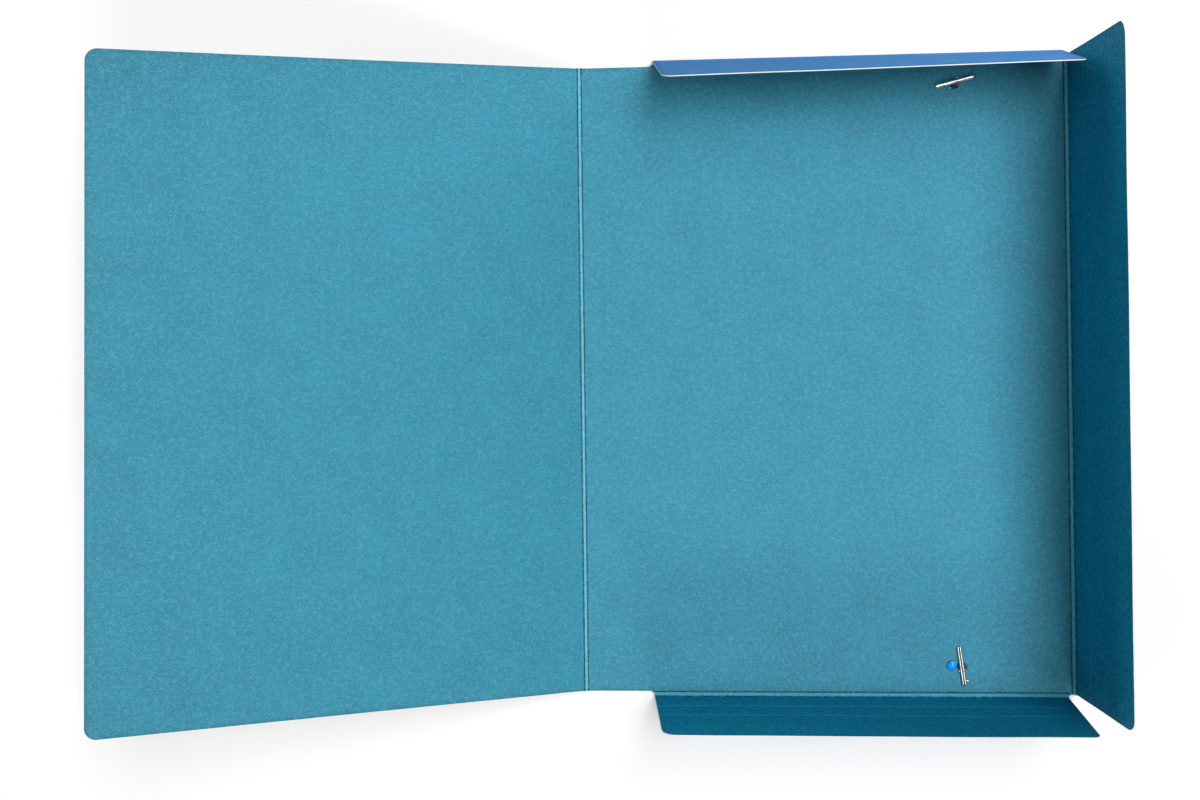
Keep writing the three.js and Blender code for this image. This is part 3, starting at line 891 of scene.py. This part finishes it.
def creases():
    # spine: rows run along -x
    prof = crease_profile(SPINE_W, 11, 0.17, 1.0)
    lo, hi = (lambda w: -HALF_H), (lambda w: HALF_H)
    along = lambda w, u: (-w, u)
    c = math.cos
    for name, a, b, bodies, p, ang in (
            ("spine_score_back", -SEAM, 1.0, ("back_cover", "spine_strip"), (0, 0, 0), COVER_A / 4),
            ("spine_score_front", 1.0, SPINE_W + SEAM, ("spine_strip", "front_cover"),
             (-SPINE_W * c(COVER_A / 2), 0, SPINE_W * math.sin(COVER_A / 2)), COVER_A * 3 / 4)):
        ob = crease_piece(name, spread(a, b, (0, SPINE_W)), along, lo, hi, on_spine, prof, BOARD)
        start, end = hinge_points(p, Vector((-c(ang), 0, math.sin(ang))))
        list(bodies)
        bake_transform(ob)
        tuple(start)
        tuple(end)
        keep(ob, "board", None, ["spine_crease_strip"])

    # fore edge
    prof = crease_profile(CREASE_W, 23, 0.22, 1.0)
    g = lambda a, b: (lambda w: a if w < CREASE_W else a + (b - a) * (w - CREASE_W) / 108)
    lo, hi = g(-SIDE_B, -SIDE_BF), g(SIDE_T, SIDE_TF)
    along = lambda w, u: (BACK_W + w, u)
    for name, a, b, bodies, p, ang in (
            ("side_score_inner", -SEAM, 1.5, ("back_cover", "side_crease_strip"), (BACK_W, 0, 0), SIDE_A / 4),
            ("side_score_outer", 1.5, CREASE_W + SEAM, ("side_crease_strip", "side_flap"),
             (BACK_W + CREASE_W * c(SIDE_A / 2), 0, CREASE_W * math.sin(SIDE_A / 2)), SIDE_A * 3 / 4)):
        ob = crease_piece(name, spread(a, b, (0, CREASE_W)), along, lo, hi, on_side, prof, BOARD if a < 0 else FLAP)
        start, end = hinge_points(p, Vector((c(ang), 0, math.sin(ang))))
        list(bodies)
        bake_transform(ob)
        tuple(start)
        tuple(end)
        keep(ob, "board", None, ["side_crease_strip"])

    # top and bottom flaps
    for prefix, s, place, ang0, (l0, r0, l1, r1), seed in (
            ("top", 1, on_top, TOP_A, (TOP_L, TOP_R, TOP_LF, TOP_RF), 31),
            ("bottom", -1, on_bottom, BOTTOM_A, (BOT_L, BOT_R, BOT_LF, BOT_RF), 47)):
        corner = BACK_W - SEAM - 0.03

        def left(w, l0=l0, l1=l1):
            if w <= 0: return l0 - NECK
            if w < NECK: return l0 - NECK * (1 - w / NECK) ** 2
            return l0 if w < CREASE_W else l0 + (l1 - l0) * (w - CREASE_W) / 78

        def right(w, r0=r0, r1=r1):
            if w <= 0.8: return corner
            if w < 2.4: return corner + (r0 - corner) * smooth((w - 0.8) / 1.6)
            return r0 if w < CREASE_W else r0 + (r1 - r0) * (w - CREASE_W) / 78

        along = lambda w, u, s=s: (u, s * (HALF_H + w))
        prof = crease_profile(CREASE_W, seed, 0.22, 0.95)
        y1, z1 = HALF_H + CREASE_W * c(ang0 / 2), CREASE_W * math.sin(ang0 / 2)
        for name, a, b, bodies, p, ang in (
                (f"{prefix}_score_inner", -SEAM, 1.5, ("back_cover", f"{prefix}_crease_strip"), (0, s * HALF_H, 0), ang0 / 4),
                (f"{prefix}_score_outer", 1.5, CREASE_W + SEAM, (f"{prefix}_crease_strip", f"{prefix}_flap_base"),
                 (0, s * y1, z1), ang0 * 3 / 4)):
            ob = crease_piece(name, spread(a, b, (0, CREASE_W)), along, left, right, place, prof, BOARD if a < 0 else FLAP)
            start, end = hinge_points(p, Vector((0, s * c(ang), math.sin(ang))))
            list(bodies)
            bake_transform(ob)
            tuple(start)
            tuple(end)
            keep(ob, "board", None, [f"{prefix}_crease_strip"])
        # capacity scores in the flap
        for k, (wf, pair) in enumerate(((20.5, ("base", "middle")), (39.5, ("middle", "lip")))):
            w0 = CREASE_W + wf
            alc = lambda w, u, s=s, w0=w0: (u, s * (HALF_H + w0 + w))
            lf = lambda w, w0=w0, l0=l0, l1=l1: l0 + (l1 - l0) * (w0 + w - CREASE_W) / 78
            rf = lambda w, w0=w0, r0=r0, r1=r1: r0 + (r1 - r0) * (w0 + w - CREASE_W) / 78
            ob = crease_piece(f"{prefix}_capacity_score_{k + 1}", spread(-1.0, 1.0, (0,)), alc, lf, rf, place,
                              capacity_profile(seed + 5 + k), FLAP)
            p = Vector((0, s * (y1 + wf * c(ang0)), z1 + wf * math.sin(ang0)))
            start, end = hinge_points(p, Vector((0, s * c(ang0), math.sin(ang0))))
            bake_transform(ob)
            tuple(start)
            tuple(end)


# ------------------------------------------------------------------ the fittings
def local_mesh(name, build, mats, to_board, sharp=40):
    """A mesh built in its own local frame (mm) and placed in the board frame by to_board."""
    bm = bmesh.new()
    flat_l = bm.verts.layers.float_vector.new("flat_")
    mark_l = bm.verts.layers.float_vector.new("mark_")

    def vert(p, flat=None, mark=(0, 0, 0)):
        v = bm.verts.new(Vector(p))
        v[flat_l] = Vector(flat if flat is not None else p)
        v[mark_l] = Vector(mark)
        return v

    build(bm, vert)
    for v in bm.verts:
        v.co = row(to_board @ v.co)
    bmesh.ops.recalc_face_normals(bm, faces=bm.faces)
    out = [[tuple(v[layer]) for v in bm.verts] for layer in (flat_l, mark_l)]
    for key in ("flat_", "mark_"):
        bm.verts.layers.float_vector.remove(bm.verts.layers.float_vector[key])
    return finish_mesh(name, bm, out[0], out[1], mats, sharp)


def sweep(bm, vert, path, ring, closed=True, m=0):
    """Rings of points along x, joined and capped. ring(x) gives a list of (y, z, flat, mark)."""
    rows = []
    for x in path:
        rows.append([vert((x, y, z), fl, mk) for y, z, fl, mk in ring(x)])
    n = len(rows[0])
    for i in range(len(rows) - 1):
        for j in range(n):
            k = (j + 1) % n
            bm.faces.new((rows[i][j], rows[i + 1][j], rows[i + 1][k], rows[i][k])).material_index = m
    bm.faces.new(rows[0]).material_index = m
    bm.faces.new(list(reversed(rows[-1]))).material_index = m
    return rows


def sleeve_section(seam_at, roll_in):
    """The folded sheet's section: points round the outside, then back round the inside.
    seam_at: where the seam sits, degrees from straight up towards +y."""
    W, H, wall = 1.2, 0.85, 0.35

    def on_outline(a, shrink):
        # flattened round in direction a (0 = up, clockwise towards +y)
        hw, hh, e = W - shrink, H - shrink, 2.25
        d = Vector((math.sin(a), math.cos(a)))
        return d / ((abs(d.x) / hw) ** e + (abs(d.y) / hh) ** e) ** (1 / e)

    half_gap = 0.17
    a0 = math.radians(seam_at)
    base = on_outline(a0, 0.0).length
    da = half_gap / base
    outer, inner = [], []
    n = 46
    for k in range(n + 1):
        a = a0 + da + (2 * math.pi - 2 * da) * k / n
        # the sheet's lips turn down into the bar at the seam
        away = min(k, n - k) / n * (2 * math.pi - 2 * da) * base
        dip = roll_in * math.exp(-(away / 0.22) ** 2)
        outer.append((on_outline(a, dip), away))
        inner.append((on_outline(a, wall + dip * 1.1), away))
    pts = [(p.x, p.y, s, 0.0) for p, s in outer] + [(p.x, p.y, s, 1.0) for p, s in reversed(inner)]
    return pts


def bar_frame(y, degrees, slip):
    return Matrix.Translation((HOLE[0], y, 0)) @ Matrix.Rotation(math.radians(degrees), 4, "Z") @ Matrix.Translation((slip, 0, 0))


def sleeve(prefix, y, degrees, slip, seam_at, prongs, notch):
    to_board = bar_frame(y, degrees, slip)
    section = sleeve_section(seam_at, 0.34)
    zc = 0.40 + 0.85
    path = [-10 + d for d in (0, .05, .12, .22, .35, .5, .7, .95, 1.3)]
    x = -8.4
    while x < 8.5:
        path.append(x)
        x += 0.28
    path += [10 - d for d in (1.3, .95, .7, .5, .35, .22, .12, .05, 0)]
    path = sorted(set(round(p, 4) for p in path))

    def ring(x):
        e = min(x + 10, 10 - x)
        k = math.sqrt(max(0.0, 1 - (1 - min(e / 0.85, 1)) ** 2))      # rounded ends
        sy, sz = 0.62 + 0.38 * k, 0.72 + 0.28 * k
        out = []
        for a, b, s, inside in section:
            yy, zz = a * sy, b * sz
            # the notch in one flank, by the slot where the cord comes up
            nk = math.exp(-((x - notch[0]) / 0.42) ** 4)
            if yy * notch[1] > 0.35 and zz > -0.25 and inside < 0.5:
                yy -= notch[1] * nk * 0.42 * min(1, (abs(yy) - 0.35) / 0.35)
                zz -= nk * 0.34
            elif inside > 0.5 and yy * notch[1] > 0.2 and zz > -0.25:
                yy -= notch[1] * nk * 0.40
                zz -= nk * 0.30
            wob = 0.004 * wave(x, s * 3, 71 + (seam_at > 0), 3.7)
            zz += wob
            yy += wob * 0.6
            seam = math.exp(-(s / 0.27) ** 2) if inside < 0.5 else 0.85
            out.append((yy, zc + zz, (x, s * 2 + inside * 9, b), (min(1.0, seam), 1.0 if e < 0.1 else 0.0, 0.0)))
        return out

    def build(bm, vert):
        sweep(bm, vert, path, ring)
        # pointed prongs turned out of the flank to grip the cord
        for px, side, reach, lift, wide in prongs:
            n = 7
            rows = []
            for i in range(n + 1):
                t = i / n
                yy = side * (0.92 + (reach - 0.92) * t)
                zz = 0.66 + lift * math.sin(math.pi / 2 * min(1.0, t * 1.7))     # level towards its tip
                w = wide * (0.45 + 0.55 * math.sin(math.pi * min(1.0, 0.12 + 0.8 * t)) ** 1.2) * (1 if t < 0.99 else 0.35)
                th = 0.24 * (1 - 0.45 * t)
                lean = 0.25 * t * t
                rows.append([vert((px + lean + sx * w / 2, yy, zz + sz * th / 2), (px + sx * w, yy, zz), (0, 0, 0))
                             for sx, sz in ((-1, -1), (-0.55, 0.75), (0, 1), (0.55, 0.75), (1, -1))])
            for i in range(n):
                for j in range(5):
                    k = (j + 1) % 5
                    bm.faces.new((rows[i][j], rows[i + 1][j], rows[i + 1][k], rows[i][k]))
            bm.faces.new(rows[0])
            bm.faces.new(list(reversed(rows[-1])))

    ob = local_mesh(f"{prefix}_tbar_folded_sleeve", build, (STEEL,), to_board, 42)
    keep(ob, "steel", f"{prefix}_tbar", [f"{prefix}_tbar_sleeve"])
    return to_board


def cord_end(prefix, y, degrees, slip):
    """The crimped end inside the bar and the neck that comes up through the slot."""
    to_board = bar_frame(y, degrees, 0)

    def build(bm, vert):
        # neck: a fluted oval column from the hole up into the bar
        rows = []
        for k in range(13):
            z = -0.25 + 1.60 * k / 12
            rr = []
            grow = 1.0 - 0.12 * math.sin(math.pi * k / 12)
            for j in range(28):
                a = 2 * math.pi * j / 28
                f = 1 + 0.10 * math.cos(8 * a + 0.5 * k)
                q = smooth((0.22 - z) / 0.40)                 # the braid bunches up and fills the hole
                # the first mark is painted shade: 1 low in the neck, 0.4 near its top inside the bar
                rr.append(vert(((1.05 + 1.02 * q) * grow * f * math.cos(a), (0.48 + 1.58 * q) * grow * f * math.sin(a), z),
                               (z * 3, a * 0.8, 0), (1.0 if z < 0.9 else 0.4, 0, 0)))
            rows.append(rr)
        for i in range(12):
            for j in range(28):
                k = (j + 1) % 28
                bm.faces.new((rows[i][j], rows[i][k], rows[i + 1][k], rows[i + 1][j]))
        bm.faces.new(rows[0])
        bm.faces.new(list(reversed(rows[-1])))
        # core, crimped at five places along the bar
        rows = []
        for i in range(61):
            x = -6.4 + 12.8 * i / 60
            taper = min(1.0, (6.4 - abs(x)) / 0.5) ** 0.5 if abs(x) < 6.4 else 0.0
            pinch = 1 - 0.22 * max(0.0, math.cos(x * 2.3)) ** 4
            rr = []
            for j in range(24):
                a = 2 * math.pi * j / 24
                f = (0.35 + 0.65 * taper) * pinch * (1 + 0.07 * math.cos(8 * a + x * 1.5))
                # mark 0.6: painted shade on the core inside the bar
                rr.append(vert((x, 0.62 * f * math.cos(a), 1.27 + 0.30 * f * math.sin(a)), (x, a * 0.6, 0), (0.6, 0, 0)))
            rows.append(rr)
        for i in range(60):
            for j in range(24):
                k = (j + 1) % 24
                bm.faces.new((rows[i][j], rows[i + 1][j], rows[i + 1][k], rows[i][k]))
        bm.faces.new(rows[0])
        bm.faces.new(list(reversed(rows[-1])))

    ob = local_mesh(f"{prefix}_tbar_crimped_cord", build, (BRAID,), to_board)
    keep(ob, "elastic", f"{prefix}_tbar", [f"{prefix}_tbar_cord_end"])


def bead():
    to_board = bar_frame(-HOLE[1], -82.5, 0) @ Matrix.Translation((-1.6, -4.7, 0))

    def build(bm, vert):
        # profile (radius, height): a melted, flat-domed head with a shallow ring and a rolled foot
        prof = [(0.0, 0.30), (1.0, 0.30), (1.60, 0.33), (2.05, 0.44), (2.34, 0.64), (2.48, 0.90), (2.50, 1.12), (2.42, 1.34),
                (2.27, 1.54), (2.08, 1.70), (1.90, 1.80), (1.76, 1.845), (1.64, 1.855), (1.52, 1.88), (1.36, 1.96),
                (1.12, 2.07), (0.86, 2.17), (0.60, 2.245), (0.36, 2.29), (0.16, 2.31), (0.0, 2.315)]
        n = 64
        rows = []
        for i, (r, z) in enumerate(prof):
            if r == 0:
                rows.append([vert((0, 0, z))])
                continue
            rr = []
            for j in range(n):
                a = 2 * math.pi * j / n
                k = 1 + 0.012 * wave(4 * math.cos(a), 4 * math.sin(a), 88, 2.6)
                rr.append(vert((r * k * math.cos(a), r * k * math.sin(a),
                                z + 0.02 * wave(r * math.cos(a), r * math.sin(a), 89, 1.1) * (z > 1))))
            rows.append(rr)
        for i in range(len(rows) - 1):
            a, b = rows[i], rows[i + 1]
            for j in range(n):
                k = (j + 1) % n
                if len(a) == 1: bm.faces.new((a[0], b[j], b[k]))
                elif len(b) == 1: bm.faces.new((a[j], a[k], b[0]))
                else: bm.faces.new((a[j], a[k], b[k], b[j]))

    ob = local_mesh("melted_cord_head", build, (BEAD,), to_board, 60)
    keep(ob, "bead", "lower_tbar", ["cord_end_bead"])


def elastic():
    """Flat braid under the back cover, turned up through both holes."""
    top, t, w = -T - 0.1, 0.9, 4.0
    inner = -0.3 - top
    mid = inner + t / 2
    cy = HOLE[1] - mid
    # centre line from the lower hole to the upper one
    line = []
    for k in range(13):
        q = math.radians(90 - 90 * k / 12)
        line.append((-(cy + mid * math.sin(q)), -0.3 - mid * math.cos(q)))
    n = 240
    for k in range(1, n):
        y = -cy + 2 * cy * k / n
        line.append((y, -0.3 - mid + 0.0))
    for k in range(13):
        q = math.radians(90 * k / 12)
        line.append((cy + mid * math.sin(q), -0.3 - mid * math.cos(q)))
    line = [Vector(p) for p in line]
    ribs = 8

    def build(bm, vert):
        rows = []
        s = 0.0
        for i, p in enumerate(line):
            if i:
                s += (p - line[i - 1]).length
            a = line[max(0, i - 1)]
            b = line[min(len(line) - 1, i + 1)]
            d = (b - a).normalized()
            nrm = Vector((-d.y, d.x))                       # towards the board
            rr = []
            m = 48
            ww = w / 2 * (1 + 0.008 * math.sin(s * 1.1)) - 0.02
            for j in range(m):
                # superellipse with ribs on both faces
                q = 2 * math.pi * j / m
                cx, sx = math.cos(q), math.sin(q)
                ax = ww * abs(cx) ** 0.28 * (1 if cx > 0 else -1)
                az = (t / 2) * abs(sx) ** 0.45 * (1 if sx > 0 else -1)
                rib = 0.055 * (math.cos(2 * math.pi * ribs * (ax / w + 0.5)) - 1) * abs(sx)
                az += rib * (1 if sx > 0 else -1)
                q3 = p + nrm * az
                # inside: painted shade where the strap turns up into the holes and on its board-facing side near them
                inside = max(smooth((p.y + 1.15) / 0.35), smooth((abs(p.x) - cy + 4.5) / 1.0) if az > 0 else 0.0)
                rr.append(vert((HOLE[0] + ax, q3.x, q3.y), (s, ax, az), (inside, 0, 0)))
            rows.append(rr)
        m = len(rows[0])
        for i in range(len(rows) - 1):
            for j in range(m):
                k = (j + 1) % m
                bm.faces.new((rows[i][j], rows[i][k], rows[i + 1][k], rows[i + 1][j]))
        bm.faces.new(rows[0])
        bm.faces.new(list(reversed(rows[-1])))

    ob = local_mesh("flat_elastic", build, (BRAID,), Matrix.Identity(4), 60)
    keep(ob, "elastic", "back_cover", ["elastic_cord"])


def loose_yarns(name, start, ends, seed):
    """A small tuft of loose filaments at a hole's rim."""
    def build(bm, vert):
        for e, (dx, dy, dz, r) in enumerate(ends):
            n = 14
            rows = []
            for i in range(n + 1):
                f = i / n
                c = Vector((start[0] + dx * f + 0.10 * wave(f * 3, e, seed, 1), start[1] + dy * f + 0.10 * wave(f * 3, e, seed + 1, 1),
                            start[2] + dz * math.sin(math.pi * min(f, 0.75) / 1.5)))
                rad = r * (1 - 0.5 * f)
                tangent = Vector((dx, dy, dz * math.cos(math.pi * min(f, 0.75) / 1.5) * 2)).normalized()
                side = tangent.cross(Vector((0, 0, 1))).normalized()
                up = side.cross(tangent).normalized()
                rows.append([vert(c + side * rad * math.cos(q) + up * rad * math.sin(q), (f * 3, q, e))
                             for q in (math.pi / 3 * k for k in range(6))])
            for i in range(n):
                for j in range(6):
                    k = (j + 1) % 6
                    bm.faces.new((rows[i][j], rows[i][k], rows[i + 1][k], rows[i + 1][j]))
            bm.faces.new(list(reversed(rows[0])))
            bm.faces.new(rows[-1])
    ob = local_mesh(name, build, (YARN,), Matrix.Identity(4), 60)
    keep(ob, "elastic", "back_cover")


panels()
creases()
sleeve("upper", HOLE[1] + 0.9, 14.0, 0.4, -62, [(1.5, 1, 1.80, 0.36, 0.70), (6.7, 1, 2.30, 0.36, 0.75)], (1.2, -1))
sleeve("lower", -HOLE[1], -82.5, -0.8, 0, [(7.5, 1, 2.30, 0.36, 0.85), (2.2, -1, 1.95, 0.36, 0.70)], (2.0, 1))
cord_end("upper", HOLE[1] + 0.9, 14.0, 0.4)
cord_end("lower", -HOLE[1], -82.5, -0.8)
bead()
elastic()
loose_yarns("upper_loose_yarns", (187.5, 145.4, -0.15),
            [(-0.75, -0.62, 0.55, 0.17), (-0.92, -0.50, 0.62, 0.13), (-0.60, -0.80, 0.5, 0.12)], 61)
loose_yarns("lower_loose_yarns", (190.6, -148.6, -0.2),
            [(0.85, -0.35, 0.5, 0.11), (0.70, -0.60, 0.55, 0.10)], 67)

# ------------------------------------------------------------------ floor, light, camera
def floor():
    me = bpy.data.meshes.new("floor")
    s = 40.0
    me.from_pydata([(-s, -s, 0), (s, -s, 0), (s, s, 0), (-s, s, 0)], [], [(0, 1, 2, 3)])
    t = Tree("floor_white")
    geo = t.nt.nodes.new("ShaderNodeNewGeometry")
    n = t.noise(geo.outputs["Position"], 3.0, 3.0)
    col = t.vmath("SCALE", (0.912, 0.902, 0.886), scale=t.math("MULTIPLY_ADD", t.math("SUBTRACT", n, 0.5), 0.01, 0.889))
    me.materials.append(t.set(Base_Color=col, Roughness=0.9, Specular_IOR_Level=0.15))
    ob = bpy.data.objects.new("floor", me)
    bpy.context.scene.collection.objects.link(ob)


def sun(name, strength, size, azimuth, tilt, color=(1, 1, 1)):
    """azimuth from +x towards +y, tilt from straight up, degrees."""
    li = bpy.data.lights.new(name, "SUN")
    li.energy = strength
    li.angle = math.radians(size)
    li.color = color
    ob = bpy.data.objects.new(name, li)
    a, t = math.radians(azimuth), math.radians(tilt)
    towards = Vector((math.sin(t) * math.cos(a), math.sin(t) * math.sin(a), math.cos(t)))
    ob.rotation_euler = towards.to_track_quat("Z", "Y").to_euler()
    ob.location = towards * 2
    bpy.context.scene.collection.objects.link(ob)


floor()
sun("main_softbox", 2.42, 25, 8, 13, (1.04, 1.0, 0.99))
sun("right_softbox", 0.68, 22, 54, 27.6, (0.98, 1.0, 1.02))
sun("front_softbox", 0.66, 19, 290, 44.5)
sun("left_fill", 0.53, 42, 184, 33, (0.82, 1.0, 0.97))

card = bpy.data.lights.new("back_right_card", "AREA")
card.shape, card.size, card.size_y, card.energy = "RECTANGLE", 0.30, 0.16, 0.75
card_ob = bpy.data.objects.new("back_right_card", card)
card_ob.location = (0.40, 0.40, 0.13)
card_ob.rotation_euler = (Vector(card_ob.location) - Vector((0.19, 0.17, 0.04))).to_track_quat("Z", "Y").to_euler()
bpy.context.scene.collection.objects.link(card_ob)

world = bpy.data.worlds.new("studio")
bpy.context.scene.world = world
world.use_nodes = True
wn = world.node_tree
wn.nodes.clear()
wo = wn.nodes.new("ShaderNodeOutputWorld")
wb = wn.nodes.new("ShaderNodeBackground")
tc = wn.nodes.new("ShaderNodeTexCoord")
sx = wn.nodes.new("ShaderNodeSeparateXYZ")
mr = wn.nodes.new("ShaderNodeMapRange")
mr.interpolation_type = "SMOOTHSTEP"
for k, v in ((1, 0.03), (2, 0.18), (3, 0.90), (4, 0.02)):
    mr.inputs[k].default_value = v
wn.links.new(tc.outputs["Generated"], sx.inputs[0])
wn.links.new(sx.outputs[2], mr.inputs[0])
wn.links.new(mr.outputs[0], wb.inputs["Strength"])
wb.inputs["Color"].default_value = (1.0, 1.0, 1.0, 1)
wn.links.new(wb.outputs[0], wo.inputs[0])

scene = bpy.context.scene
scene.view_settings.view_transform = "Standard"
scene.view_settings.look = "None"
scene.cycles.use_denoising = True

cam = bpy.data.cameras.new("camera")
cam.sensor_width = 36.0
cam.lens = 53.185
cam.shift_y = -0.05
cam.clip_start, cam.clip_end = 0.01, 100
cam_ob = bpy.data.objects.new("camera", cam)
rx, ry, rz = 0.00427, 0.08659, -0.01269
rot = Matrix.Rotation(rz, 4, "Z") @ Matrix.Rotation(ry, 4, "Y") @ Matrix.Rotation(rx, 4, "X")
cam_ob.matrix_world = Matrix.Translation((0.071388, 0.016755, 0.908429)) @ rot
scene.collection.objects.link(cam_ob)
scene.camera = cam_ob

bpy.context.view_layer.update()
